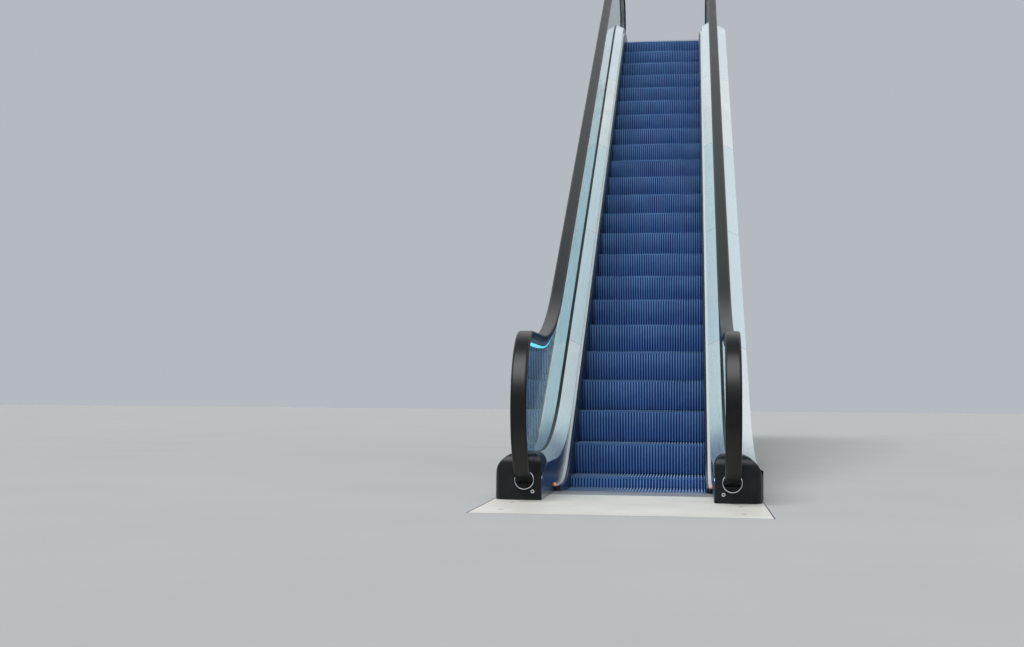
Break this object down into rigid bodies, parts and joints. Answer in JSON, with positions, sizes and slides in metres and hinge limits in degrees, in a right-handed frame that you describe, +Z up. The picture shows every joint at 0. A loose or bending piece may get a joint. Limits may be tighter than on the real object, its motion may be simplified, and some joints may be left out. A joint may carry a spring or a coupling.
{
  "type": "glass sided escalator",
  "caption": "Escalator with blue cleated steps between glass balustrades with round newels, from the lower comb to the upper landing.",
  "frame": {"origin": "middle of the flat underside of the lower support angle's flange", "axes": "+Y runs up the stair from the lower landing to the upper one, +Z is up, +X is to the right of someone riding up"},
  "size_m": [1.38, 13.1673, 5.6],
  "materials": {
    "step": "satin",
    "roller": "matte",
    "track": "satin",
    "comb": "satin",
    "comb_plate": "satin",
    "floor_plate": "satin",
    "frame": "matte",
    "skirt": "satin",
    "strip": "polished",
    "interior_panel": "polished",
    "decking": "brushed",
    "outer_decking": "brushed",
    "clamp": "satin",
    "glass": "clear",
    "guide": "satin",
    "handrail": "satin",
    "light": "matte",
    "base": "gloss",
    "ring": "polished",
    "key": "polished",
    "lamp": "gloss",
    "side_panel": "satin",
    "support": "matte"
  },
  "bodies": {
    "root": {"lower_steps": "step", "lower_slope_steps": "step", "upper_slope_steps": "step", "upper_steps": "step", "step_rollers": "roller", "left_track": "track", "right_track": "track", "lower_combs": "comb", "upper_combs": "comb", "comb_plates": "comb_plate", "lower_floor_plates": "floor_plate", "upper_floor_plates": "floor_plate", "landing_beams": "frame", "left_skirt": "skirt", "right_skirt": "skirt", "left_skirt_strip": "strip", "right_skirt_strip": "strip", "left_interior_panels": "interior_panel", "right_interior_panels": "interior_panel", "left_inner_decking": "decking", "right_inner_decking": "decking", "left_outer_decking": "outer_decking", "right_outer_decking": "outer_decking", "left_glass_clamp": "clamp", "right_glass_clamp": "clamp", "left_glass": "glass", "right_glass": "glass", "left_handrail_guide": "guide", "right_handrail_guide": "guide", "left_handrail": "handrail", "right_handrail": "handrail", "light_strips": "light", "lower_newel_bases": "base", "upper_newel_bases": "base", "handrail_inlet_rings": "ring", "key_switches": "key", "comb_lights": "lamp", "left_side_panels": "side_panel", "right_side_panels": "side_panel", "soffit": "side_panel", "cross_frames": "frame", "frame_posts": "frame", "end_plates": "frame", "lower_support_angle": "support", "upper_support_angle": "support"}
  },
  "joints": []
}
